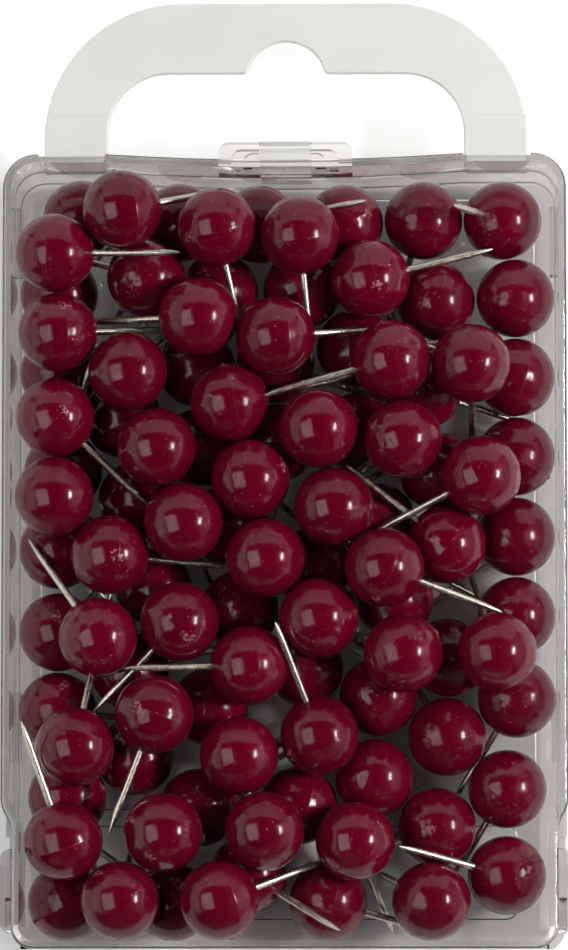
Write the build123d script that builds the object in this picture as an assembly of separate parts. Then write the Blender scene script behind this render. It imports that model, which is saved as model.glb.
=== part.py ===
from build123d import *
import math
import os
from typing import NamedTuple

import numpy as np

os.makedirs("parts", exist_ok=True)

# Sizes are in millimetres. While it is modelled the case has x across it, y from the hinge end
# towards the hang handle and z up from the table; everything is centred at the end.

# Case: a clear box lying on its back, the base below and the lid above
case_width = 70.6
case_length = 99.5
layer_play = 0.6
wall = 1.0
floor_thickness = 1.1
panel_thickness = 1.1
parting_height = 12.0
parting_gap = 0.1
latch_corner_round = 4.2
hinge_corner_round = 2.9
rim_round = 0.5
cove_round = 1.6
smallest_round = 0.3

# Latch end: the edge dips a little between the handle's legs
dip_leg_gap = 0.2
dip_depth = 0.75
curve_share = 0.97

# Hinge end: the lid's side walls step in, so that they swing between the base's ears
step_in = 1.25
step_start = 18.7
step_end = 14.4
hinge_from_end = 5.0
cheek_reach = 7.6
cheek_drop = 3.4
lip_gap = 0.35
swing_gap = 0.15
peg_diameter = 3.0
peg_length = 1.1
peg_clearance = 0.1
ear_start = 2.0
ear_end = 12.7
ear_rise = 4.6
ear_thickness = 1.65
ear_round = 3.5
ear_side_round = 1.4
hinge_side_wall_top = 5.0

# Locating tabs that stand up from the base inside the lid's side walls
tab_length = 8.7
hinge_tab_start = 23.6
latch_tab_inset = 5.6
tab_thickness = 0.7
tab_rise = 0.9
tab_root = 2.0
tab_clearance = 0.15

# Shallow fields on the underside of the base
field_depth = 0.5
field_slope = 0.15
main_field_side_inset = 3.6
main_field_start = 18.0
main_field_end_inset = 3.0
hinge_field_side_inset = 6.0
hinge_field_start = 4.0
hinge_field_end = 16.0
field_round = 1.5

# Latch: three thumb steps on the lid and a tongue that reaches down over the base
thumb_widths = [16.9, 13.5, 10.3]
thumb_reaches = [3.2, 1.85, 1.05]
thumb_drops = [7.4, 4.4, 1.8]
thumb_round = 1.2
tongue_width = 6.4
tongue_reach = 2.35
tongue_bottom = 5.0
tongue_drop = 1.2
tongue_gap = 0.15
bead_radius = 0.5
bead_proud = 0.1
bead_height = 6.6
catch_groove_depth = 0.35
catch_groove_height = 1.6

# Hang handle: a flat U with a half-round notch for a display hook
handle_thickness = 1.4
handle_reach = 20.8
leg_inset = 4.55
leg_width = 8.15
loop_reach = 11.8
handle_outer_round = 17.5
handle_inner_round = 7.6
notch_radius = 5.0
notch_reach = 15.9
notch_flare = 0.8
handle_edge_round = 0.3
handle_wall_gap = 0.1
foot_neck_width = 6.6
foot_end_width = 7.6
foot_clearance = 0.08
leg_recess_depth = 0.35
leg_recess_gap = 0.15
leg_groove_reach = 6.2
leg_groove_width = 0.5
leg_groove_depth = 0.15

# Pins: a moulded ball head on a steel needle with a ground point
ball_diameter = 10.0
needle_diameter = 0.9
needle_exposed = 11.2
needle_buried = 6.0
needle_point = 2.8
needle_point_flat = 0.06
bore_clearance = 0.01

# How closely the pins may lie to each other and to the case
ball_gap = 0.05
case_gap = 0.15
needle_gap = 0.06
needle_end_gap = 0.2
settle_rounds = 600
direction_count = 1600
needle_samples = 40
hidden_samples = 10
golden_angle = math.pi * (3 - math.sqrt(5))
listed_width = 70.6
listed_length = 99.5
front_lean = -50.0
back_lean = 5.0


class Pin(NamedTuple):
    """One pin as it lies: its ball's place, and where the needle was seen to point, in degrees."""

    x: float
    y: float
    heading: float | None = None
    lean: float = 0.0


# The pins on top, in rows from the handle's end to the hinge, placed for a case of the listed size
front_rows = [
    [Pin(-20.7, 93.9, 6, -20), Pin(-8.7, 91.2, -77, -20), Pin(1.8, 90.2), Pin(-29.2, 88.4, -1, 10)],
    [Pin(10.7, 84.9, 11, -15), Pin(-10.9, 79.6, 180, -22), Pin(-28.7, 78.0, 0, -16), Pin(-1.4, 77.1)],
    [Pin(13.4, 74.2, 199, -3), Pin(23.4, 73.8, -104, -40), Pin(-20.0, 72.9), Pin(-7.0, 69.1, 13, -8)],
    [Pin(-29.2, 67.0, -33, -20), Pin(4.2, 65.4), Pin(14.8, 64.2), Pin(-16.3, 63.2)],
    [Pin(24.7, 59.6), Pin(-4.5, 59.2), Pin(-29.2, 57.0), Pin(6.1, 55.7, 67, -30)],
    [Pin(-12.8, 53.7), Pin(-22.2, 49.7, -4, -25), Pin(-2.5, 49.2), Pin(12.4, 47.9, -29, -10)],
    [Pin(4.2, 41.7), Pin(-13.4, 41.2, 226, -10), Pin(-23.6, 39.2, 137, -35), Pin(26.6, 37.3)],
    [Pin(14.8, 37.2), Pin(-4.6, 35.7, 184, 8), Pin(-16.5, 29.5, 249, 0), Pin(4.2, 27.0, 109, 0)],
    [Pin(-26.5, 25.4), Pin(-5.9, 24.4), Pin(-2.7, 14.8), Pin(-15.4, 14.6), Pin(8.7, 13.6, -63, -35)],
    [Pin(-27.9, 13.6, 109, 14), Pin(27.8, 9.5, 161, 22), Pin(-8.3, 6.1, 23, -15), Pin(18.3, 6.1),
     Pin(-20.8, 6.1)],
]

# Two pins that lie half sunk between the layers
middle_rows = [
    [Pin(-17.8, 85.2), Pin(20.3, 51.2, 142, 5)],
]

# The pins on the floor, the hidden ones guessed from the room that is left between the seen ones
back_rows = [
    [Pin(-26.6, 92.9), Pin(-13.4, 93.0), Pin(-3.3, 92.9), Pin(6.8, 93.0), Pin(17.1, 93.0),
     Pin(27.3, 93.0, 180, 67)],
    [Pin(-29.2, 84.3), Pin(-8.4, 84.2), Pin(1.4, 84.5), Pin(19.0, 82.7), Pin(29.2, 83.0)],
    [Pin(-29.2, 73.4), Pin(-10.8, 74.4), Pin(-1.2, 75.6), Pin(8.7, 76.6),
     Pin(29.2, 72.8)],
    [Pin(17.1, 71.2), Pin(-22.5, 66.7), Pin(-11.0, 64.0), Pin(-0.5, 66.0), Pin(8.0, 66.0),
     Pin(29.2, 62.7)],
    [Pin(-26.5, 61.5), Pin(-20.2, 58.1), Pin(-8.0, 54.0), Pin(17.7, 59.3), Pin(11.7, 54.5)],
    [Pin(29.2, 52.5), Pin(-29.2, 51.1), Pin(4.9, 49.9), Pin(-17.0, 46.1), Pin(-6.0, 43.3)],
    [Pin(14.0, 44.4), Pin(29.2, 42.2), Pin(-29.2, 40.4), Pin(20.6, 37.4), Pin(3.0, 35.6)],
    [Pin(-20.0, 35.5), Pin(-29.2, 30.3), Pin(-9.8, 30.9), Pin(12.1, 31.8), Pin(29.2, 32.0, 237, 0)],
    [Pin(20.8, 26.6), Pin(-19.7, 24.4), Pin(-29.2, 19.6), Pin(11.2, 21.7), Pin(29.2, 21.1, 232, 0)],
    [Pin(-11.2, 18.1), Pin(1.4, 18.4), Pin(20.0, 16.4), Pin(-28.2, 6.1), Pin(-14.5, 6.1),
     Pin(-4.8, 9.7, -35, -5), Pin(5.2, 6.1, -23, 0)],
]

# Derived sizes
half_width = case_width / 2
hinge_half_width = half_width - step_in
case_height = floor_thickness + 2 * ball_diameter + layer_play + panel_thickness
panel_underside = case_height - panel_thickness
lid_bottom = parting_height + parting_gap
hinge_height = parting_height
lip_radius = panel_underside - hinge_height - lip_gap
ear_top = hinge_height + ear_rise
latch_face = case_length - dip_depth
ball_radius = ball_diameter / 2
needle_radius = needle_diameter / 2
handle_bottom = parting_height - handle_thickness
step_radius = (step_in**2 + (step_start - step_end) ** 2) / (4 * step_in)
step_tangent = step_radius * step_in / (step_start - step_end)
ear_inner = hinge_half_width + swing_gap
end_wall_half = hinge_half_width - wall - swing_gap
corner_clear = hinge_corner_round + peg_clearance
handle_top = case_length + handle_reach
loop_top = case_length + loop_reach
notch_top = case_length + notch_reach
leg_groove_at = case_length + leg_groove_reach
leg_outer = half_width - leg_inset
leg_inner = leg_outer - leg_width
dip_half_width = leg_inner - dip_leg_gap
mid_length = handle_top / 2


def face_of(points, radii):
    """A flat face inside a closed line with rounded corners."""
    return make_face(FilletPolyline(*points, radius=radii, close=True))


def block(x_span, y_span, z_span):
    """A box between two values on each axis."""
    size = [high - low for low, high in (x_span, y_span, z_span)]
    middle = [(low + high) / 2 for low, high in (x_span, y_span, z_span)]
    return Pos(*middle) * Box(*size)


def raised(face, bottom, top):
    """A face drawn at the table's height, made into a solid between two heights."""
    return Pos(0, 0, bottom) * extrude(face, amount=top - bottom, dir=(0, 0, 1))


def about_hinge(radius, x_span):
    """A cylinder about the hinge line between two values across the case."""
    length = x_span[1] - x_span[0]
    turned = Rot(0, 90, 0) * Cylinder(radius, length)
    return Pos((x_span[0] + x_span[1]) / 2, hinge_from_end, hinge_height) * turned


def case_outline(inset, stepped):
    """The case seen from above, moved in by an inset, with or without the step at the hinge."""
    side = half_width - inset
    end = case_length - inset
    latch_round = max(latch_corner_round - inset, smallest_round)
    hinge_round = max(hinge_corner_round - inset, smallest_round)
    dip_slope = 2 * dip_depth / dip_half_width
    dip_round = curve_share * math.hypot(dip_half_width, 2 * dip_depth) / dip_slope
    latch_points = [(side, end), (dip_half_width, end), (0, end - 2 * dip_depth),
                    (-dip_half_width, end), (-side, end)]
    latch_radii = [latch_round, 0, dip_round, 0, latch_round]
    if not stepped:
        points = [(-side, inset), (side, inset)] + latch_points
        return face_of(points, [hinge_round, hinge_round] + latch_radii)
    near = hinge_half_width - inset
    step_round = curve_share * step_radius
    right = [(near, step_end + step_tangent), (side, step_start - step_tangent)]
    left = [(-x, y) for x, y in reversed(right)]
    points = [(-near, inset), (near, inset)] + right + latch_points + left
    steps = [step_round, step_round]
    return face_of(points, [hinge_round, hinge_round] + steps + latch_radii + steps)


def mirrored(solid):
    """A solid and its twin on the other side of the case."""
    return [solid, mirror(solid, about=Plane.YZ)]


def build_base():
    """The base: floor, low walls, tall end wall at the hinge, ears, tabs and the catch groove."""
    outside = case_outline(0, False)
    room = raised(case_outline(wall, False), floor_thickness, case_height)
    room = fillet(room.faces().sort_by(Axis.Z)[0].edges(), cove_round)
    shell = raised(outside, 0, parting_height) - room
    everything = (-case_width, case_width)
    base = raised(outside, 0, floor_thickness)
    base += shell - block(everything, (-wall, step_end - swing_gap), (floor_thickness, case_height))
    base += shell & block(everything, (corner_clear, step_end), (0, hinge_side_wall_top))
    end_span = (-end_wall_half, end_wall_half)
    base += block(end_span, (0, wall), (0, hinge_height))
    tall = block(end_span, (0, wall), (hinge_height, case_height))
    base += tall & about_hinge(lip_radius - swing_gap, end_span)
    ear_span = (ear_inner, ear_inner + ear_thickness)
    ear_points = [(ear_start, 0), (ear_end, 0), (ear_end, ear_top), (ear_start, ear_top)]
    ear_face = Plane.YZ * face_of(ear_points, [0, 0, ear_round, ear_round])
    ear = Pos(ear_span[0], 0, 0) * extrude(ear_face, amount=ear_thickness, dir=(1, 0, 0))
    ear_plan = [(ear_span[0], ear_start), (ear_span[1], ear_start), (ear_span[1], ear_end),
                (ear_span[0], ear_end)]
    ear &= raised(face_of(ear_plan, [0, ear_side_round, ear_side_round, 0]), 0, case_height)
    hole_end = hinge_half_width + peg_length + peg_clearance
    ear -= about_hinge(peg_diameter / 2 + peg_clearance, (ear_span[0] - wall, hole_end))
    for one in mirrored(ear):
        base += one
    inner_side = half_width - wall
    tab_outer = inner_side - tab_clearance
    for start in (hinge_tab_start, case_length - latch_tab_inset - tab_length):
        end = start + tab_length
        root = block((tab_outer - tab_thickness, inner_side + wall / 2), (start, end),
                     (parting_height - tab_root, parting_height))
        rise = block((tab_outer - tab_thickness, tab_outer), (start, end),
                     (parting_height - tab_root, parting_height + tab_rise))
        for one in mirrored(root + rise):
            base += one
    main_field = (half_width - main_field_side_inset, main_field_start, case_length - main_field_end_inset)
    hinge_field = (half_width - hinge_field_side_inset, hinge_field_start, hinge_field_end)
    for side, start, end in (main_field, hinge_field):
        points = [(-side, start), (side, start), (side, end), (-side, end)]
        field = raised(face_of(points, field_round), 0, field_depth)
        base -= chamfer(field.faces().sort_by(Axis.Z)[-1].edges(), field_slope)
    groove_y = (latch_face - catch_groove_depth, latch_face + wall)
    groove_z = (bead_height - catch_groove_height / 2, bead_height + catch_groove_height / 2)
    base -= block((-tongue_width / 2, tongue_width / 2), groove_y, groove_z)
    for side in (-1, 1):
        base -= raised(foot_face(side, foot_clearance), handle_bottom - foot_clearance, case_height)
    return base


def foot_face(side, grow):
    """A leg's dovetail foot, as wide as the latch-end wall is thick, seen from above."""
    middle = side * (leg_inner + leg_outer) / 2
    neck = foot_neck_width / 2 + grow
    end = foot_end_width / 2 + grow
    flare = (end - neck) / wall
    outer = case_length + wall
    inner = case_length - wall
    near = neck - flare * wall if grow else neck
    points = [(middle - end, inner), (middle + end, inner), (middle + neck, case_length),
              (middle + near, outer), (middle - near, outer), (middle - neck, case_length)]
    return face_of(points, 0)


def build_handle():
    """The hang handle: a flat U with a hook notch, rounded edges and dovetail feet."""
    start = case_length + handle_wall_gap
    outer = [(leg_outer, start), (leg_outer, handle_top), (-leg_outer, handle_top), (-leg_outer, start)]
    inner = [(leg_inner, start - wall), (leg_inner, loop_top), (-leg_inner, loop_top),
             (-leg_inner, start - wall)]
    flat = face_of(outer, [0, handle_outer_round, handle_outer_round, 0])
    flat -= face_of(inner, [0, handle_inner_round, handle_inner_round, 0])
    flat -= Pos(0, notch_top - notch_radius) * Circle(notch_radius)
    mouths = [v for v in flat.vertices() if abs(v.Y - loop_top) < ball_gap and abs(v.X) < notch_radius]
    flat = fillet(mouths, notch_flare)
    handle = raised(flat, handle_bottom, parting_height)
    edges = handle.faces().sort_by(Axis.Z)[-1].edges() + handle.faces().sort_by(Axis.Z)[0].edges()
    handle = fillet([e for e in edges if e.center().Y > start + ball_gap], handle_edge_round)
    for side in (-1, 1):
        handle += raised(foot_face(side, 0), handle_bottom, parting_height)
        leg = sorted((side * (leg_inner - wall), side * (leg_outer + wall)))
        groove_y = (leg_groove_at - leg_groove_width / 2, leg_groove_at + leg_groove_width / 2)
        handle -= block(leg, groove_y, (parting_height - leg_groove_depth, case_height))
    return handle


def build_lid():
    """The lid: panel, side walls with hinge cheeks and pegs, a short lip, thumb steps and tongue."""
    outside = case_outline(0, True)
    inside = case_outline(wall, True)
    panel = raised(outside, panel_underside, case_height)
    lid = fillet(panel.faces().sort_by(Axis.Z)[-1].edges(), rim_round)
    lid += raised(outside - inside, lid_bottom, panel_underside)
    everything = (-case_width, case_width)
    behind = block(everything, (-case_height, corner_clear), (-case_height, case_height))
    lid -= about_hinge(lip_radius, everything) & behind
    cheek_span = (hinge_half_width - wall, hinge_half_width)
    cheek = block(cheek_span, (corner_clear, hinge_from_end + cheek_reach),
                  (hinge_height - cheek_drop, panel_underside))
    peg_span = (hinge_half_width - wall / 2, hinge_half_width + peg_length)
    for one in mirrored(cheek + about_hinge(peg_diameter / 2, peg_span)):
        lid += one
    for width, reach, drop in zip(thumb_widths, thumb_reaches, thumb_drops):
        tip = latch_face + reach
        root = latch_face - wall / 2
        points = [(-width / 2, root), (width / 2, root), (width / 2, tip), (-width / 2, tip)]
        lid += raised(face_of(points, [0, 0, thumb_round, thumb_round]), lid_bottom, case_height - drop)
    tongue_x = (-tongue_width / 2, tongue_width / 2)
    tongue_tip = latch_face + tongue_reach
    lid += block(tongue_x, (latch_face - wall / 2, tongue_tip),
                 (lid_bottom, case_height - tongue_drop))
    tongue_face = latch_face + tongue_gap
    lid += block(tongue_x, (tongue_face, tongue_tip), (tongue_bottom, lid_bottom))
    bead = Rot(0, 90, 0) * Cylinder(bead_radius, tongue_width)
    lid += Pos(0, tongue_face - bead_proud + bead_radius, bead_height) * bead
    for side in (-1, 1):
        recess = sorted((side * (leg_inner - leg_recess_gap), side * (leg_outer + leg_recess_gap)))
        lid -= block(recess, (case_length - leg_recess_depth, case_length + wall), (0, case_height))
    return lid


def side_room(y):
    """How far from the middle of the case a ball may lie at each place along it."""
    wide = half_width - wall - case_gap - ball_radius
    narrow = hinge_half_width - wall - case_gap - ball_radius
    return np.where(y < step_start + ball_radius / 2 + step_in, narrow, wide)


def keep_inside(places):
    """Balls' places moved back inside the case's walls."""
    x, y = places[:, 0], places[:, 1]
    bow = dip_depth * np.clip(1 - (x / dip_half_width) ** 2, 0, 1)
    top = case_length - wall - case_gap - ball_radius - bow
    y = np.clip(y, wall + case_gap + ball_radius, top)
    room = side_room(y)
    return np.column_stack([np.clip(x, -room, room), y])


def spread(places, fixed, fixed_apart):
    """Balls of one layer moved apart on the flat until none of them touches another.

    Args:
        places: Their places, one row each.
        fixed: Places that don't move.
        fixed_apart: How far from each of those they stay.
    Returns:
        Their new places, and the ones of them that still have too little room.
    """
    apart = ball_diameter + ball_gap
    places = keep_inside(places)
    for _ in range(settle_rounds):
        shift = places[:, None] - places[None]
        gap = np.hypot(shift[..., 0], shift[..., 1])
        np.fill_diagonal(gap, 2 * apart)
        push = np.clip(apart + ball_gap - gap, 0, None) / np.maximum(gap, ball_gap)
        move = (shift * push[..., None]).sum(axis=1) / 2
        if len(fixed):
            away = places[:, None] - fixed[None]
            far = np.hypot(away[..., 0], away[..., 1])
            lift = np.clip(fixed_apart + ball_gap - far, 0, None) / np.maximum(far, ball_gap)
            move = move + (away * lift[..., None]).sum(axis=1)
        places = keep_inside(places + move / 2)
    shift = places[:, None] - places[None]
    gap = np.hypot(shift[..., 0], shift[..., 1])
    kept = []
    for one in np.argsort(-np.abs(places[:, 0]), kind="stable"):
        roomy = all(gap[one, other] > ball_diameter for other in kept)
        if len(fixed):
            far = np.hypot(*(places[one] - fixed).T)
            roomy = roomy and bool(np.all(far > fixed_apart - ball_gap))
        if roomy:
            kept.append(one)
    return places, kept


def rest_on(places, below):
    """The lowest heights at which balls lie on the balls below them and on the floor."""
    apart = ball_diameter + ball_gap
    shift = places[:, None] - below[None, :, :2]
    flat = shift[..., 0] ** 2 + shift[..., 1] ** 2
    rise = np.sqrt(np.clip(apart**2 - flat, 0, None))
    tops = np.where(flat < apart**2, below[None, :, 2] + rise, 0)
    lowest = floor_thickness + ball_radius + ball_gap
    return np.maximum(tops.max(axis=1), lowest)


def toward(heading, lean):
    """A direction from its heading on the flat and its lean above it, in degrees."""
    turn, rise = math.radians(heading), math.radians(lean)
    flat = math.cos(rise)
    return np.array([flat * math.cos(turn), flat * math.sin(turn), math.sin(rise)])


def all_directions():
    """Directions spread evenly over a whole sphere."""
    index = np.arange(direction_count)
    rise = 1 - 2 * (index + 0.5) / direction_count
    flat = np.sqrt(1 - rise**2)
    return np.column_stack([flat * np.cos(golden_angle * index), flat * np.sin(golden_angle * index), rise])


def nearest(points, starts, ends):
    """The least distance from each of the points to each of the lines between starts and ends."""
    line = ends - starts
    along = ((points[..., None, :] - starts) * line).sum(axis=-1) / (line * line).sum(axis=-1)
    foot = starts + np.clip(along, 0, 1)[..., None] * line
    return np.linalg.norm(points[..., None, :] - foot, axis=-1)


def inside_case(points, thick):
    """Which of a needle's points lie inside the closed case, with its half thickness at each."""
    clear = thick + needle_end_gap
    rise = np.clip(floor_thickness + cove_round - points[..., 2], 0, cove_round)
    cove = cove_round - np.sqrt(cove_round**2 - rise**2)
    narrow = hinge_half_width - wall - clear
    wide = half_width - wall - tab_clearance - tab_thickness - clear
    side = np.where(points[..., 1] < step_start + clear, narrow, wide) - cove
    good = np.abs(points[..., 0]) < side
    good &= points[..., 1] > wall + clear + cove
    good &= points[..., 1] < latch_face - wall - clear - cove
    good &= points[..., 2] > floor_thickness + clear
    return good & (points[..., 2] < panel_underside - clear)


def open_share(points, centres):
    """How much of each line of points has no ball over it."""
    flat = np.hypot(points[..., None, 0] - centres[:, 0], points[..., None, 1] - centres[:, 1])
    over = (flat < ball_radius) & (centres[:, 2] > points[..., None, 2])
    return 1 - over.any(axis=-1).mean(axis=-1)


def lay_needles(centres, wishes, seen, unseen):
    """A clear direction for each pin's needle.

    A needle that was seen takes the one nearest to how it pointed, and an unseen one the most hidden.

    Args:
        centres: The balls' centres.
        wishes: The direction wished for each pin.
        seen: The pins whose needles were seen, which are laid first.
        unseen: The other pins.
    Returns:
        The direction of each pin that found one.
    """
    sphere = all_directions()
    steps = np.linspace(ball_radius, ball_radius + needle_exposed, needle_samples)
    sparse = np.linspace(ball_radius, ball_radius + needle_exposed, hidden_samples)
    to_tip = ball_radius + needle_exposed - steps
    thick = needle_radius * np.clip(to_tip / needle_point, 0, 1)
    found = {}
    starts = np.empty((0, 3))
    ends = np.empty((0, 3))
    for one in seen + unseen:
        tries = np.vstack([wishes[one], sphere])
        tries = tries[np.argsort(-(tries @ wishes[one]), kind="stable")]
        points = centres[one] + tries[:, None, :] * steps[None, :, None]
        tries = tries[inside_case(points, thick).all(axis=1)]
        others = np.delete(centres, one, axis=0)
        near = others[np.linalg.norm(others - centres[one], axis=1) < 2 * ball_diameter + needle_exposed]
        first = centres[one] + tries * ball_radius
        last = centres[one] + tries * (ball_radius + needle_exposed)
        clear = nearest(near, first, last) if len(near) else np.full((1, len(tries)), ball_diameter)
        tries = tries[(clear > ball_radius + needle_radius + needle_gap).all(axis=0)]
        if one in unseen:
            points = centres[one] + tries[:, None, :] * sparse[None, :, None]
            tries = tries[np.argsort(open_share(points, centres), kind="stable")]
        for way in tries:
            points = centres[one] + way * steps[:, None]
            if len(starts) and nearest(points, starts, ends).min() < needle_diameter + 2 * needle_gap:
                continue
            found[one] = way
            starts = np.vstack([starts, points[:1]])
            ends = np.vstack([ends, points[-1:]])
            break
    return found


def lay_pins():
    """All pins of the pack, as rows of ball centres and needle directions by layer."""
    rows = [("back", row) for row in back_rows]
    rows += [("middle", row) for row in middle_rows]
    rows += [("front", row) for row in front_rows]
    listed = [(layer, number, pin) for number, (layer, row) in enumerate(rows) for pin in row]
    laid = {}
    below = np.empty((0, 3))
    highest = panel_underside - ball_radius - ball_gap
    for layer in ("back", "middle", "front"):
        members = [index for index, entry in enumerate(listed) if entry[0] == layer]
        flat = np.array([listed[index][2][:2] for index in members], dtype=float)
        flat *= [case_width / listed_width, case_length / listed_length]
        if layer == "front":
            sunk = np.array([laid[index] for index in laid if listed[index][0] == "middle"])
            over = highest - sunk[:, 2]
            least = np.sqrt(np.clip((ball_diameter + 2 * ball_gap) ** 2 - over**2, 0, None))
            flat, kept = spread(flat, sunk[:, :2], least)
        else:
            flat, kept = spread(flat, np.empty((0, 2)), 0)
        heights = np.full(len(flat), floor_thickness + ball_radius + ball_gap)
        if layer != "back":
            heights = rest_on(flat, below)
        for slot in kept:
            if heights[slot] <= highest:
                laid[members[slot]] = np.array([*flat[slot], heights[slot]])
        below = np.array(list(laid.values()))
    keys = list(laid)
    centres = np.array([laid[key] for key in keys])
    wishes = []
    seen = []
    for slot, key in enumerate(keys):
        layer, _, pin = listed[key]
        if pin.heading is None:
            lean = back_lean if layer == "back" else front_lean
            wishes.append(toward(math.degrees(golden_angle * key), lean))
        else:
            wishes.append(toward(pin.heading, pin.lean))
            seen.append(slot)
    unseen = [slot for slot in range(len(keys)) if slot not in seen]
    found = lay_needles(centres, wishes, seen, unseen)
    grouped = {}
    for slot in sorted(found):
        layer, number, _ = listed[keys[slot]]
        grouped.setdefault((layer, number), []).append((centres[slot], found[slot]))
    return grouped


def build_head():
    """A ball head with the blind bore that holds its needle, pointing up from its centre."""
    bore_bottom = ball_radius - needle_buried
    bore = Pos(0, 0, bore_bottom) * Cylinder(
        needle_radius + bore_clearance, needle_buried + wall, align=(Align.CENTER, Align.CENTER, Align.MIN)
    )
    return Sphere(ball_radius) - bore


def build_needle():
    """A needle with its ground point, starting at the bottom of the head's bore."""
    bottom = ball_radius - needle_buried + bore_clearance
    top = ball_radius + needle_exposed
    points = [(0, bottom), (needle_radius, bottom), (needle_radius, top - needle_point),
              (needle_point_flat / 2, top), (0, top)]
    return revolve(Plane.XZ * face_of(points, 0), Axis.Z)


def save(name, solids):
    """One piece written to its own file, moved so that the whole lies centred on the table."""
    centred = Pos(0, -mid_length, 0)
    whole = [centred * solid for shape in solids for solid in shape.solids()]
    export_step(whole[0] if len(whole) == 1 else Compound(whole), f"parts/{name}.step")


save("base_tray", [build_base()])
save("lid", [build_lid()])
save("hang_handle", [build_handle()])
head = build_head()
needle = build_needle()
row_numbers = {"back": 0, "middle": 0, "front": 0}
pin_count = 0
for (layer, number), pins in sorted(lay_pins().items()):
    row_numbers[layer] += 1
    name = f"{layer}_row_{row_numbers[layer]:02d}"
    frames = [Plane(origin=tuple(centre), z_dir=tuple(way)).location for centre, way in pins]
    save(f"pin_heads_{name}", [frame * head for frame in frames])
    save(f"pin_needles_{name}", [frame * needle for frame in frames])
    pin_count += len(pins)
print("pins", pin_count)
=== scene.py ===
"""Looks for a clear hinged hang pack of ball-head push pins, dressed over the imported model."""

import logging
import math
from collections.abc import Callable
from dataclasses import dataclass, field
from enum import Enum
from typing import Any

import bpy
from mathutils import Matrix, Vector


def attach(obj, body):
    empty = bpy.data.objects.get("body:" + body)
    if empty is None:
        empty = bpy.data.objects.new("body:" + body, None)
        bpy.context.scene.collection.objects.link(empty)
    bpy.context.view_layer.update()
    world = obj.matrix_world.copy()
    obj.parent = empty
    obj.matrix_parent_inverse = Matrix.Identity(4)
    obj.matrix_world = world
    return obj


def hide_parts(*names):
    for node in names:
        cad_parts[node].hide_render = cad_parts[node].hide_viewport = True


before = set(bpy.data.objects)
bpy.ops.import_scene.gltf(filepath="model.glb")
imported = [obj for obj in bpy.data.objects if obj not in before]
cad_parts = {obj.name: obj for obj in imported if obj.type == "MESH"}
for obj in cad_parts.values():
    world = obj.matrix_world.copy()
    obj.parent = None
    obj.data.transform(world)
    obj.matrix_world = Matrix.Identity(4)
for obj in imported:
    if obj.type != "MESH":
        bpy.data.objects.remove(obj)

Colour = tuple[float, float, float]
Place = tuple[float, float, float]
Span = tuple[float, float]

LOG = logging.getLogger("pin_pack")
MM = 0.001
GOLDEN_ANGLE = math.pi * (3 - math.sqrt(5))
SAME_PLACE = 0.001 * MM
BLACK: Colour = (0.0, 0.0, 0.0)
WHITE: Colour = (1.0, 1.0, 1.0)
EVEN: Place = (1.0, 1.0, 1.0)


class Body(Enum):
    """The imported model's body that the pins ride on."""

    BASE = "base"


class Slot(Enum):
    """The record's material slots of the pins' pieces."""

    HEAD = "pin_head"
    NEEDLE = "pin_needle"


class Ray(Enum):
    """What a Light Path node says of a ray."""

    CAMERA = "Is Camera Ray"
    SHADOW = "Is Shadow Ray"
    DIFFUSE = "Is Diffuse Ray"
    GLOSSY = "Is Glossy Ray"
    THROUGH = "Is Transmission Ray"
    MIRRORED = "Glossy Depth"


class MixSocket(Enum):
    """The places of a Mix node's colour sockets."""

    SHARE = 0
    FIRST = 6
    SECOND = 7
    RESULT = 2


@dataclass(frozen=True)
class Pattern:
    """Soft noise over a piece: waves in a metre, finer layers, stretch, and levels that cut it."""

    scale: float
    detail: float = 2.0
    stretch: Place = EVEN
    levels: Span | None = None


class Value:
    """A shader socket that plain arithmetic works on."""

    def __init__(self, graph: "Graph", socket: bpy.types.NodeSocket) -> None:
        """Wraps a socket.

        Args:
            graph: The node graph that the socket is in.
            socket: The output that holds the number.
        """
        self.graph = graph
        self.socket = socket

    def _math(self, operation: str, first: Any, second: Any = None) -> "Value":
        """Adds one Math node.

        Args:
            operation: Its operation.
            first: Its first number or value.
            second: Its second, if it has one.
        Returns:
            The value that it gives.
        """
        values = {0: first} if second is None else {0: first, 1: second}
        return self.graph.value("ShaderNodeMath", {"operation": operation}, values)

    def __add__(self, other: Any) -> "Value":
        """Self plus other."""
        return self._math("ADD", self, other)

    def __sub__(self, other: Any) -> "Value":
        """Self minus other."""
        return self._math("SUBTRACT", self, other)

    def __rsub__(self, other: Any) -> "Value":
        """Other minus self."""
        return self._math("SUBTRACT", other, self)

    def __mul__(self, other: Any) -> "Value":
        """Self times other."""
        return self._math("MULTIPLY", self, other)

    def __abs__(self) -> "Value":
        """The size of self without its sign."""
        return self._math("ABSOLUTE", self)

    def most(self, other: Any) -> "Value":
        """The larger of self and other."""
        return self._math("MAXIMUM", self, other)

    def ramp(self, low: float, high: float) -> "Value":
        """Self taken smoothly from 0 at low to 1 at high.

        Args:
            low: Where the result is 0.
            high: Where the result is 1.
        Returns:
            The result, held between 0 and 1.
        """
        settings = {"interpolation_type": "SMOOTHSTEP"}
        return self.graph.value("ShaderNodeMapRange", settings, {0: self, 1: low, 2: high})


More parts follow.
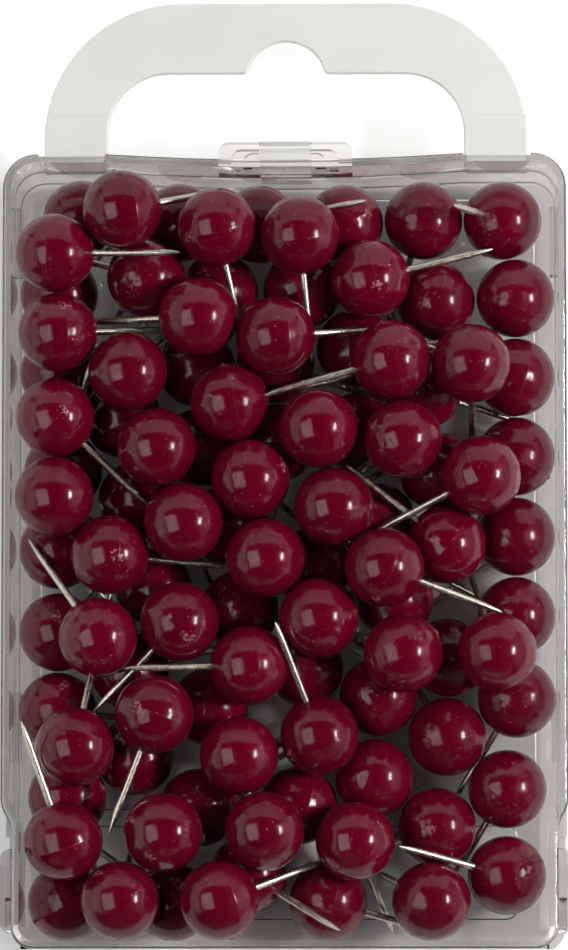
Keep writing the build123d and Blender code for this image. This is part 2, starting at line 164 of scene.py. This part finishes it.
class Graph:
    """A material's or a world's node graph."""

    def __init__(self, tree: bpy.types.NodeTree) -> None:
        """Empties a node tree and takes it over.

        Args:
            tree: The node tree.
        """
        self.tree = tree
        tree.nodes.clear()

    def node(self, kind: str, settings: dict[str, Any], sockets: dict[Any, Any]) -> bpy.types.Node:
        """Adds one node.

        Args:
            kind: The node's type.
            settings: Its own settings, set before its sockets.
            sockets: Its inputs by name or place, each a number, a colour, a point or a value.
        Returns:
            The node.
        """
        made = self.tree.nodes.new(kind)
        for name, setting in settings.items():
            setattr(made, name, setting)
        for name, given in sockets.items():
            plug = made.inputs[name]
            if isinstance(given, Value):
                self.tree.links.new(given.socket, plug)
            elif plug.type == "RGBA":
                plug.default_value = (*given, 1.0)
            else:
                plug.default_value = given
        return made

    def value(
        self, kind: str, settings: dict[str, Any], sockets: dict[Any, Any], out: str | int = 0
    ) -> Value:
        """Adds one node and gives one of its outputs.

        Args:
            kind: The node's type.
            settings: Its own settings.
            sockets: Its inputs.
            out: The output's name or place.
        Returns:
            The output as a value.
        """
        return Value(self, self.node(kind, settings, sockets).outputs[out])

    def place(self, scale: Place = EVEN) -> Value:
        """The point on the piece in metres, stretched along each axis.

        Args:
            scale: The stretch.
        Returns:
            The point.
        """
        point = self.value("ShaderNodeTexCoord", {}, {}, "Object")
        return self.value("ShaderNodeMapping", {}, {"Vector": point, "Scale": scale})

    def chart(self) -> Value:
        """The point on the piece's UV chart.

        Returns:
            The point.
        """
        return self.value("ShaderNodeTexCoord", {}, {}, "UV")

    def attribute(self, name: str) -> Value:
        """A number that the mesh keeps at each point.

        Args:
            name: The attribute's name.
        Returns:
            The number.
        """
        return self.value("ShaderNodeAttribute", {"attribute_name": name}, {}, "Fac")

    def length(self, vector: Value) -> Value:
        """How long a vector is.

        Args:
            vector: The vector.
        Returns:
            Its length.
        """
        return self.value("ShaderNodeVectorMath", {"operation": "LENGTH"}, {0: vector}, "Value")

    def ray(self, kind: Ray) -> Value:
        """What the Light Path node says of a ray.

        Args:
            kind: What is asked.
        Returns:
            The answer.
        """
        return self.value("ShaderNodeLightPath", {}, {}, kind.value)

    def noise(self, pattern: Pattern) -> Value:
        """Soft noise over the piece.

        Args:
            pattern: The noise's scale, detail, stretch and levels.
        Returns:
            The noise, from 0 to 1.
        """
        point = self.place(pattern.stretch)
        sockets = {"Vector": point, "Scale": pattern.scale, "Detail": pattern.detail}
        noise = self.value("ShaderNodeTexNoise", {}, sockets)
        return noise if pattern.levels is None else noise.ramp(*pattern.levels)

    def mix(self, share: Any, first: Any, second: Any) -> Value:
        """A colour between two.

        Args:
            share: How much of the second there is.
            first: The first colour.
            second: The second colour.
        Returns:
            The mixed colour.
        """
        sockets = {
            MixSocket.SHARE.value: share,
            MixSocket.FIRST.value: first,
            MixSocket.SECOND.value: second,
        }
        return self.value("ShaderNodeMix", {"data_type": "RGBA"}, sockets, MixSocket.RESULT.value)

    def bump(self, height: Value, strength: float, distance: float) -> Value:
        """A surface normal bent by a height.

        Args:
            height: The height, from 0 to 1.
            strength: How much of the bend is used.
            distance: What a height of 1 is, in metres.
        Returns:
            The normal.
        """
        sockets = {"Height": height, "Strength": strength, "Distance": distance}
        return self.value("ShaderNodeBump", {}, sockets)

    def surface(self, sockets: dict[Any, Any]) -> Value:
        """A Principled surface.

        Args:
            sockets: Its inputs.
        Returns:
            The shader.
        """
        return self.value("ShaderNodeBsdfPrincipled", {}, sockets)

    def output(
        self, shader: Value, kind: str = "ShaderNodeOutputMaterial", inside: Value | None = None
    ) -> None:
        """Ends the graph in a shader.

        Args:
            shader: The shader.
            kind: The output node's type.
            inside: What fills the piece, if it isn't clear all through.
        """
        sockets = {"Surface": shader}
        if inside is not None:
            sockets["Volume"] = inside
        self.node(kind, {}, sockets)

    def in_sight(self) -> Value:
        """Whether a ray goes straight from the camera, or through clear plastic on the way.

        Returns:
            1 for such a ray, and 0 or less for light and for mirror images.
        """
        return self.ray(Ray.CAMERA).most(self.ray(Ray.THROUGH) - self.ray(Ray.MIRRORED))

    def shadowless(self, solid: Value, shade: Colour) -> Value:
        """A shader that lets light through to what lies behind it.

        Args:
            solid: The shader that every other ray sees.
            shade: How much light passes at each face.
        Returns:
            The shader for both.
        """
        through = self.value("ShaderNodeBsdfTransparent", {}, {"Color": shade})
        passing = self.ray(Ray.SHADOW).most(self.ray(Ray.DIFFUSE))
        return self.value("ShaderNodeMixShader", {}, {0: passing, 1: solid, 2: through})


def new_material(name: str) -> tuple[bpy.types.Material, Graph]:
    """Makes an empty material.

    Args:
        name: Its name.
    Returns:
        The material and its graph.
    """
    material = bpy.data.materials.new(name)
    material.use_nodes = True
    return material, Graph(material.node_tree)


def dress(piece: bpy.types.Object, material: bpy.types.Material) -> None:
    """Gives a piece one material.

    Args:
        piece: The piece.
        material: The material.
    """
    piece.data.materials.clear()
    piece.data.materials.append(material)


@dataclass(frozen=True)
class ClearPlastic:
    """Clear moulded polystyrene with faint handling marks."""

    tint: Colour = (0.985, 0.978, 0.970)
    shade: Colour = (0.94, 0.935, 0.93)
    depth: Colour = (0.56, 0.545, 0.535)
    density: float = 9.0
    polish: float = 0.01
    scuff: float = 0.12
    bend: float = 1.56
    hairlines: Pattern = Pattern(900.0, 3.0, (1.0, 14.0, 14.0), (0.69, 0.76))
    cross_lines: Pattern = Pattern(850.0, 3.0, (15.0, 1.2, 15.0), (0.70, 0.77))
    handled: Pattern = Pattern(60.0, levels=(0.48, 0.62))
    waves: Pattern = Pattern(110.0, 1.0)
    wave_bump: float = 0.05
    wave_height: float = 0.4 * MM

    def make(self, name: str) -> bpy.types.Material:
        """Builds the material.

        Args:
            name: Its name.
        Returns:
            The material.
        """
        material, graph = new_material(name)
        lines = graph.noise(self.hairlines).most(graph.noise(self.cross_lines))
        marks = lines * graph.noise(self.handled)
        sockets = {
            "Base Color": self.tint,
            "Roughness": marks * self.scuff + self.polish,
            "IOR": self.bend,
            "Transmission Weight": 1.0,
            "Normal": graph.bump(graph.noise(self.waves), self.wave_bump, self.wave_height),
        }
        filling = {"Color": self.depth, "Density": self.density}
        inside = graph.value("ShaderNodeVolumeAbsorption", {}, filling)
        graph.output(graph.shadowless(graph.surface(sockets), self.shade), inside=inside)
        return material


@dataclass(frozen=True)
class PalePlastic:
    """Pale translucent handle plastic, a little cloudy."""

    body: Colour = (0.75, 0.75, 0.72)
    cloud: Colour = (0.725, 0.725, 0.695)
    shade: Colour = (0.86, 0.86, 0.85)
    bend: float = 1.5
    clear_share: float = 0.35
    milk_share: float = 0.2
    milk_reach: Place = (3.0 * MM, 3.0 * MM, 3.0 * MM)
    clouds: Pattern = Pattern(140.0, 4.0, levels=(0.35, 0.7))
    grain: Pattern = Pattern(2600.0)
    grain_rough: float = 0.12
    grain_bump: float = 0.06
    grain_height: float = 0.05 * MM
    polish: float = 0.3

    def make(self, name: str) -> bpy.types.Material:
        """Builds the material.

        Args:
            name: Its name.
        Returns:
            The material.
        """
        material, graph = new_material(name)
        grain = graph.noise(self.grain)
        sockets = {
            "Base Color": graph.mix(graph.noise(self.clouds), self.body, self.cloud),
            "Roughness": grain * self.grain_rough + self.polish,
            "IOR": self.bend,
            "Transmission Weight": self.clear_share,
            "Subsurface Weight": self.milk_share,
            "Subsurface Radius": self.milk_reach,
            "Normal": graph.bump(grain, self.grain_bump, self.grain_height),
        }
        graph.output(graph.shadowless(graph.surface(sockets), self.shade))
        return material


@dataclass(frozen=True)
class BurgundyPlastic:
    """Deep burgundy gloss plastic of the ball heads, with seam, torn flash, specks and scratches."""

    deep: Colour = (0.106, 0.0003, 0.0104)
    lit: Colour = (0.136, 0.0005, 0.0138)
    dust: Colour = (0.42, 0.20, 0.21)
    seam: Colour = (0.12, 0.006, 0.016)
    flash: Colour = (0.34, 0.12, 0.14)
    bend: float = 1.47
    polish: float = 0.095
    tone_share: float = 0.6

    swirl: Pattern = Pattern(260.0, 3.0)
    swirl_share: float = 0.4
    swirl_rough: float = 0.05
    swirl_relief: float = 0.6

    ring_height: float = 0.5
    ring_levels: Span = (0.0012, 0.0042)
    ring_share: float = 0.5
    ring_rough: float = 0.15

    tear: Pattern = Pattern(2400.0, 3.0)
    tear_levels: Span = (0.88, 0.95)
    scar_share: float = 0.5
    tear_share: float = 0.75
    tear_rough: float = 0.3

    specks: Pattern = Pattern(3100.0, 1.0, levels=(0.73, 0.76))
    speck_share: float = 0.55
    speck_rough: float = 0.3

    scratches: Pattern = Pattern(1500.0, 2.0, (1.0, 9.0, 3.0), (0.70, 0.76))
    scratch_share: float = 0.14
    scratch_rough: float = 0.08
    scratch_relief: float = 0.05

    relief_bump: float = 0.03
    relief_height: float = 0.3 * MM

    def make(self, name: str) -> bpy.types.Material:
        """Builds the material.

        Args:
            name: Its name.
        Returns:
            The material.
        """
        material, graph = new_material(name)
        tone = graph.attribute("tone")
        scar = graph.attribute("scar")
        height = graph.value("ShaderNodeSeparateXYZ", {}, {"Vector": graph.chart()}, "Y")
        swirl = graph.noise(self.swirl)
        specks = graph.noise(self.specks)
        scratch = graph.noise(self.scratches)
        torn = (scar * self.scar_share + graph.noise(self.tear)).ramp(*self.tear_levels)
        ring = 1.0 - abs(height - self.ring_height).ramp(*self.ring_levels)

        colour = graph.mix(tone * self.tone_share + swirl * self.swirl_share, self.deep, self.lit)
        colour = graph.mix(ring * self.ring_share, colour, self.seam)
        colour = graph.mix(torn * self.tear_share, colour, self.flash)
        dusty = specks * self.speck_share + scratch * self.scratch_share
        rough = swirl * self.swirl_rough + specks * self.speck_rough + ring * self.ring_rough
        rough = rough + torn * self.tear_rough + scratch * self.scratch_rough + self.polish
        relief = swirl * self.swirl_relief + scratch * self.scratch_relief
        sockets = {
            "Base Color": graph.mix(dusty, colour, self.dust),
            "Roughness": rough,
            "IOR": self.bend,
            "Normal": graph.bump(relief, self.relief_bump, self.relief_height),
        }
        graph.output(graph.surface(sockets))
        return material


@dataclass(frozen=True)
class NeedleSteel:
    """Bright drawn steel with streaks along the needle."""

    bright: Colour = (0.68, 0.65, 0.57)
    dull: Colour = (0.40, 0.37, 0.31)
    polish: float = 0.2
    streak_scale: Place = (60.0, 3.0, 1.0)
    streak_detail: float = 3.0
    streak_share: float = 0.5
    streak_rough: float = 0.14
    streak_bump: float = 0.06
    streak_height: float = 0.02 * MM
    blots: Pattern = Pattern(900.0, levels=(0.45, 0.75))
    blot_share: float = 0.3
    blot_rough: float = 0.1

    def make(self, name: str) -> bpy.types.Material:
        """Builds the material.

        Args:
            name: Its name.
        Returns:
            The material.
        """
        material, graph = new_material(name)
        stretched = {"Vector": graph.chart(), "Scale": self.streak_scale}
        along = graph.value("ShaderNodeMapping", {}, stretched)
        waves = {"Vector": along, "Scale": 1.0, "Detail": self.streak_detail}
        streak = graph.value("ShaderNodeTexNoise", {}, waves)
        blots = graph.noise(self.blots)
        worn = streak * self.streak_share + blots * self.blot_share
        sockets = {
            "Base Color": graph.mix(worn, self.bright, self.dull),
            "Roughness": streak * self.streak_rough + blots * self.blot_rough + self.polish,
            "Metallic": 1.0,
            "Normal": graph.bump(streak, self.streak_bump, self.streak_height),
        }
        graph.output(graph.surface(sockets))
        return material


@dataclass(frozen=True)
class StudioFloor:
    """Pale paper that the lamps light to white, and that keeps the pack's shadow; its lift is held
    back in an oval under the pins as painted shade.
    """

    paint: Colour = (0.93, 0.93, 0.925)
    fleck: Colour = (0.90, 0.90, 0.90)
    grain: Pattern = Pattern(90.0, 3.0)
    grain_share: float = 0.3
    roughness: float = 0.9
    gloss: float = 0.1
    lift: Colour = (0.11, 0.11, 0.11)
    far_lift: Colour = (0.80, 0.80, 0.80)
    far_levels: Span = (0.30, 1.10)
    # painted shade: under the pile of pins the paper's lift drops to this level, in the oval set by
    # the next three fields, so the gaps between the balls look darker
    painted_shade_lift: Colour = (0.012, 0.012, 0.012)
    painted_shade_middle: Span = (-2.0 * MM, -10.4 * MM)
    painted_shade_half: Span = (32.0 * MM, 53.0 * MM)
    painted_shade_levels: Span = (1.05, 0.80)

    def painted_shade_oval(self, graph: Graph) -> Value:
        """Where painted shade darkens the paper: an oval under the pile of pins, below the case.

        Args:
            graph: The material's graph.
        Returns:
            1 under the pile, where the lift is held back as painted shade, falling to 0 towards the
            case's walls.
        """
        scale = [1.0 / half for half in self.painted_shade_half]
        shift = [-middle * grow for middle, grow in zip(self.painted_shade_middle, scale)]
        sockets = {"Vector": graph.place(), "Location": (*shift, 0.0), "Scale": (*scale, 0.0)}
        oval = graph.value("ShaderNodeMapping", {}, sockets)
        return graph.length(oval).ramp(*self.painted_shade_levels)

    def make(self, name: str) -> bpy.types.Material:
        """Builds the material.

        Args:
            name: Its name.
        Returns:
            The material.
        """
        material, graph = new_material(name)
        seen = graph.ray(Ray.CAMERA).most(graph.ray(Ray.GLOSSY)).most(graph.ray(Ray.THROUGH))
        # painted shade: the lift falls to the lower level in the oval under the pins
        lift = graph.mix(self.painted_shade_oval(graph), self.lift, self.painted_shade_lift)
        shaded_glow = graph.mix(seen, BLACK, lift)
        away = graph.length(graph.place()).ramp(*self.far_levels)
        speckle = graph.noise(self.grain) * self.grain_share
        sockets = {
            "Base Color": graph.mix(speckle, self.paint, self.fleck),
            "Roughness": self.roughness,
            "Specular IOR Level": self.gloss,
            "Emission Color": graph.mix(graph.in_sight() * away, shaded_glow, self.far_lift),
            "Emission Strength": 1.0,
        }
        graph.output(graph.surface(sockets))
        return material


def lone(piece: bpy.types.Object) -> None:
    """Selects one object alone and makes it active.

    Args:
        piece: The object.
    """
    if bpy.context.object and bpy.context.object.mode != "OBJECT":
        bpy.ops.object.mode_set(mode="OBJECT")
    bpy.ops.object.select_all(action="DESELECT")
    piece.select_set(True)
    bpy.context.view_layer.objects.active = piece


def pick(piece: bpy.types.Object, kind: str, test: Callable[[Vector], bool]) -> None:
    """Selects a piece's vertices, edges or faces by their place, and goes into edit mode.

    Args:
        piece: The piece.
        kind: VERT, EDGE or FACE.
        test: Says of a point whether it is taken; an edge needs its ends and its middle.
    """
    bpy.ops.object.mode_set(mode="EDIT")
    bpy.ops.mesh.select_mode(type=kind)
    bpy.ops.mesh.select_all(action="DESELECT")
    bpy.ops.object.mode_set(mode="OBJECT")
    mesh = piece.data
    if kind == "FACE":
        for face in mesh.polygons:
            face.select = test(face.center)
    elif kind == "EDGE":
        for edge in mesh.edges:
            first, second = (mesh.vertices[index].co for index in edge.vertices)
            edge.select = all(test(point) for point in (first, (first + second) / 2, second))
    else:
        for vertex in mesh.vertices:
            vertex.select = test(vertex.co)
    bpy.ops.object.mode_set(mode="EDIT")


@dataclass
class PinModel:
    """One pin, modelled once at the origin with its needle pointing up."""

    ball: float = 5.0 * MM
    segments: int = 56
    rings: int = 28
    head_crease: float = math.radians(50)
    seam_width: float = 0.09 * MM
    seam_rise: float = 1.0035
    gate_half: float = 0.3 * MM
    gate_reach: float = 0.16 * MM
    gate_spread: Place = (1.0, 0.8, 1.6)
    dimple_rings: float = 1.9
    dimple_slack: float = 0.9995
    dimple: float = 0.35 * MM
    dimple_depth: float = 0.12 * MM
    scar_reach: float = 2.2 * MM
    needle: float = 0.45 * MM
    needle_sides: int = 16
    needle_crease: float = math.radians(40)
    exposed: float = 11.2 * MM
    buried: float = 6.0 * MM
    point: float = 2.8 * MM
    point_steps: tuple[Span, ...] = ((0.3, 0.93), (0.7, 0.80), (0.75, 0.62), (0.45, 0.12))

    def on_seam(self, point: Vector) -> bool:
        """Whether a point lies on the middle line round the ball.

        Args:
            point: The point.
        Returns:
            Whether it does.
        """
        return abs(point.z) < SAME_PLACE

    def at_gate(self, point: Vector) -> bool:
        """Whether a point lies where the plastic ran into the mould.

        Args:
            point: The point.
        Returns:
            Whether it does.
        """
        return abs(point.z) < self.seam_width and point.x > 0 and abs(point.y) < self.gate_half

    def at_needle(self, point: Vector) -> bool:
        """Whether a point of the ball lies close round the needle.

        Args:
            point: The point.
        Returns:
            Whether it does.
        """
        rim = math.cos(self.dimple_rings * math.pi / self.rings)
        return point.z > self.ball * rim * self.dimple_slack

    def head(self) -> bpy.types.Mesh:
        """Models the ball head with its seam, gate mark and the dimple round the needle.

        Returns:
            The head's mesh.
        """
        bpy.ops.object.select_all(action="DESELECT")
        bpy.ops.mesh.primitive_uv_sphere_add(
            segments=self.segments, ring_count=self.rings, radius=self.ball, calc_uvs=True
        )
        piece = bpy.context.object
        piece.name = "head_model"
        lone(piece)
        pick(piece, "EDGE", self.on_seam)
        bpy.ops.mesh.bevel(offset=self.seam_width, segments=2, profile=0.5, affect="EDGES")
        pick(piece, "VERT", self.on_seam)
        bpy.ops.transform.resize(value=(self.seam_rise, self.seam_rise, 1.0))
        gate = Vector((self.ball, 0.0, 0.0))
        pick(piece, "FACE", self.at_gate)
        bpy.ops.mesh.extrude_region_move(
            TRANSFORM_OT_translate={"value": (self.gate_reach, 0.0, 0.0)}
        )
        bpy.ops.transform.resize(value=self.gate_spread, center_override=gate)
        pick(piece, "FACE", self.at_needle)
        bpy.ops.mesh.inset(thickness=self.dimple, depth=0.0)
        bpy.ops.mesh.inset(thickness=self.dimple / 4, depth=-self.dimple_depth)
        bpy.ops.object.mode_set(mode="OBJECT")
        bpy.ops.object.shade_smooth_by_angle(angle=self.head_crease)
        mesh = piece.data
        scar = mesh.attributes.new("scar", "FLOAT", "POINT")
        far = [(vertex.co - gate).length / self.scar_reach for vertex in mesh.vertices]
        scar.data.foreach_set("value", [max(0.0, 1.0 - reach) for reach in far])
        bpy.data.objects.remove(piece)
        return mesh

    def shaft(self) -> bpy.types.Mesh:
        """Models the needle with its ground point.

        Returns:
            The needle's mesh.
        """
        bottom = self.ball - self.buried
        shoulder = self.ball + self.exposed - self.point
        bpy.ops.object.select_all(action="DESELECT")
        bpy.ops.mesh.primitive_cylinder_add(
            vertices=self.needle_sides, radius=self.needle, depth=shoulder - bottom,
            location=(0.0, 0.0, (shoulder + bottom) / 2), calc_uvs=True,
        )
        piece = bpy.context.object
        piece.name = "needle_model"
        lone(piece)
        bpy.ops.object.transform_apply(location=True, rotation=True, scale=True)
        pick(piece, "FACE", lambda point: point.z > shoulder - SAME_PLACE)
        whole = sum(share for share, _ in self.point_steps)
        for share, width in self.point_steps:
            rise = self.point * share / whole
            bpy.ops.mesh.extrude_region_move(TRANSFORM_OT_translate={"value": (0.0, 0.0, rise)})
            bpy.ops.transform.resize(value=(width, width, 1.0))
        bpy.ops.object.mode_set(mode="OBJECT")
        bpy.ops.object.shade_smooth_by_angle(angle=self.needle_crease)
        mesh = piece.data
        bpy.data.objects.remove(piece)
        return mesh


@dataclass
class PinPlace:
    """Where one pin lies: its ball's centre and the way its needle points."""

    centre: Vector
    way: Vector


@dataclass
class PinRows:
    """All pins of the pack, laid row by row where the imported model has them."""

    model: PinModel = field(default_factory=PinModel)
    tone_step: float = 3.7
    made: int = 0

    @staticmethod
    def parts(node: bpy.types.Object) -> list[list[Vector]]:
        """Reads a node's separate solids.

        Args:
            node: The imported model's node.
        Returns:
            The points of each solid.
        """
        copy = bpy.data.objects.new("row_copy", node.data.copy())
        bpy.context.scene.collection.objects.link(copy)
        lone(copy)
        bpy.ops.object.mode_set(mode="EDIT")
        bpy.ops.mesh.select_all(action="SELECT")
        bpy.ops.mesh.remove_doubles(threshold=SAME_PLACE)
        bpy.ops.mesh.separate(type="LOOSE")
        bpy.ops.object.mode_set(mode="OBJECT")
        solids = []
        for piece in list(bpy.context.selected_objects):
            solids.append([vertex.co.copy() for vertex in piece.data.vertices])
            bpy.data.objects.remove(piece)
        return solids

    def places(self, row: str) -> list[PinPlace]:
        """Works out where a row's pins lie.

        Args:
            row: The row's name.
        Returns:
            Its pins' places.
        """
        centres = []
        for points in self.parts(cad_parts[f"pin_heads_{row}"]):
            low = Vector(min(p[axis] for p in points) for axis in range(3))
            high = Vector(max(p[axis] for p in points) for axis in range(3))
            centres.append((low + high) / 2)
        laid = []
        for points in self.parts(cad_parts[f"pin_needles_{row}"]):
            centre = min(centres, key=lambda c: min((p - c).length for p in points))
            tip = max(points, key=lambda p: (p - centre).length)
            laid.append(PinPlace(centre, (tip - centre).normalized()))
        return sorted(laid, key=lambda pin: (pin.centre.x, pin.centre.y))

    def joined(self, name: str, mesh: bpy.types.Mesh, laid: list[PinPlace]) -> bpy.types.Object:
        """Copies one modelled mesh to each pin's place and joins the copies into one piece.

        Args:
            name: The piece's name.
            mesh: The modelled mesh.
            laid: The pins' places.
        Returns:
            The piece.
        """
        copies = []
        for number, pin in enumerate(laid):
            copy = mesh.copy()
            turn = GOLDEN_ANGLE * (number + self.made)
            roll = Matrix.Rotation(turn, 4, "Z")
            aim = pin.way.to_track_quat("Z", "Y").to_matrix().to_4x4()
            copy.transform(Matrix.Translation(pin.centre) @ aim @ roll)
            tone = copy.attributes.new("tone", "FLOAT", "POINT")
            shade = (math.sin(turn * self.tone_step) + 1) / 2
            tone.data.foreach_set("value", [shade] * len(copy.vertices))
            piece = bpy.data.objects.new(name, copy)
            bpy.context.scene.collection.objects.link(piece)
            copies.append(piece)
        lone(copies[0])
        for piece in copies:
            piece.select_set(True)
        bpy.ops.object.join()
        return bpy.context.object

    def build(self) -> None:
        """Builds, dresses and rides every row of heads and needles."""
        head, shaft = self.model.head(), self.model.shaft()
        burgundy = BurgundyPlastic().make("burgundy_plastic")
        steel = NeedleSteel().make("needle_steel")
        kinds = (("heads", head, burgundy, Slot.HEAD), ("needles", shaft, steel, Slot.NEEDLE))
        prefix = "pin_heads_"
        rows = [name.removeprefix(prefix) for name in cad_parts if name.startswith(prefix)]
        for row in sorted(rows):
            laid = self.places(row)
            for kind, mesh, finish, slot in kinds:
                piece = self.joined(f"{kind}_{row}", mesh, laid)
                dress(piece, finish)
                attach(piece, Body.BASE.value)
                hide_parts(f"pin_{kind}_{row}")
                LOG.info("laid %s with %d pins", piece.name, len(laid))
            self.made += len(laid)


@dataclass
class ClearCase:
    """The clear base and lid, and the pale hang handle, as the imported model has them."""

    base: ClearPlastic = ClearPlastic(
        tint=(0.89, 0.88, 0.87), shade=(0.80, 0.795, 0.79), density=18.0
    )
    lid: ClearPlastic = ClearPlastic()
    handle: PalePlastic = PalePlastic()

    def build(self) -> None:
        """Dresses the case's three pieces."""
        finishes = {
            "base_tray": self.base.make("clear_base_plastic"),
            "lid": self.lid.make("clear_lid_plastic"),
            "hang_handle": self.handle.make("pale_handle_plastic"),
        }
        for name, finish in finishes.items():
            dress(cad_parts[name], finish)
            LOG.info("dressed %s", name)


@dataclass
class Lamp:
    """A soft lamp with its own place, aimed at the pack."""

    name: str
    place: Place
    width: float
    length: float
    strength: float

    def build(self, target: Vector) -> None:
        """Makes the lamp.

        Args:
            target: What it is aimed at.
        """
        light = bpy.data.lights.new(self.name, "AREA")
        light.shape = "RECTANGLE"
        light.size, light.size_y = self.width, self.length
        light.energy = self.strength * self.width * self.length * math.pi
        lamp = bpy.data.objects.new(self.name, light)
        lamp.location = Vector(self.place)
        lamp.rotation_euler = (target - lamp.location).to_track_quat("-Z", "Y").to_euler()
        bpy.context.scene.collection.objects.link(lamp)


@dataclass
class Studio:
    """Floor, lamps, world and the camera at the photograph's view."""

    target: Vector = field(default_factory=lambda: Vector((0.0, -1.2, 22.8)) * MM)
    camera_from_target: Vector = field(default_factory=lambda: Vector((18.6, -71.0, 770.0)) * MM)
    lens: float = 156.6
    sensor_height: float = 24.0
    nearest_seen: float = 10.0 * MM
    floor_half: float = 1.6
    floor_drop: float = 0.05 * MM
    world_level: float = 0.005

    def lamps(self) -> list[Lamp]:
        """The lamps: a narrow one at the right, a dim window at the left and panels all round.

        Returns:
            The lamps.
        """
        return [
            Lamp("right_strip", (0.46, 0.0, 0.40), 0.18, 0.06, 108.0),
            Lamp("left_window", (-0.342, -0.076, 0.534), 0.50, 0.38, 2.5),
            Lamp("back_panel", (0.0, 0.62, 0.31), 1.5, 0.66, 0.95),
            Lamp("left_panel", (-0.85, 0.0, 0.28), 1.2, 0.50, 1.1),
            Lamp("right_panel", (0.85, 0.0, 0.28), 1.2, 0.50, 0.45),
            Lamp("front_panel", (0.0, -0.85, 0.22), 1.2, 0.30, 0.12),
        ]

    def floor(self) -> None:
        """Lays the pale floor under the pack."""
        bpy.ops.object.select_all(action="DESELECT")
        bpy.ops.mesh.primitive_plane_add(
            size=2 * self.floor_half, location=(0.0, 0.0, -self.floor_drop)
        )
        ground = bpy.context.object
        ground.name = "floor"
        dress(ground, StudioFloor().make("studio_floor"))

    def world(self) -> None:
        """Sets an even dim light all round, white to the camera and through clear plastic."""
        sky = bpy.data.worlds.new("studio")
        sky.use_nodes = True
        graph = Graph(sky.node_tree)
        level = graph.in_sight().most(self.world_level)
        light = graph.value("ShaderNodeBackground", {}, {"Color": WHITE, "Strength": level})
        graph.output(light, "ShaderNodeOutputWorld")
        bpy.context.scene.world = sky

    def camera(self) -> None:
        """Sets the camera where the photograph was taken from."""
        lens = bpy.data.cameras.new("camera")
        lens.sensor_fit = "VERTICAL"
        lens.sensor_height = self.sensor_height
        lens.lens = self.lens
        lens.clip_start = self.nearest_seen
        camera = bpy.data.objects.new("camera", lens)
        camera.location = self.target + self.camera_from_target
        back = self.camera_from_target.normalized()
        right = Vector((0.0, 1.0, 0.0)).cross(back).normalized()
        up = back.cross(right)
        camera.rotation_euler = Matrix((right, up, back)).transposed().to_euler()
        bpy.context.scene.collection.objects.link(camera)
        bpy.context.scene.camera = camera

    def build(self) -> None:
        """Builds the whole studio."""
        self.floor()
        self.world()
        for lamp in self.lamps():
            lamp.build(self.target)
        self.camera()
        bpy.context.scene.view_settings.view_transform = "Standard"
        LOG.info("set up the studio")


def main() -> None:
    """Builds the studio, the case and the pins."""
    logging.basicConfig(level=logging.INFO, format="%(name)s: %(message)s")
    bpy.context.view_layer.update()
    Studio().build()
    ClearCase().build()
    PinRows().build()


if __name__ == "__main__":
    main()
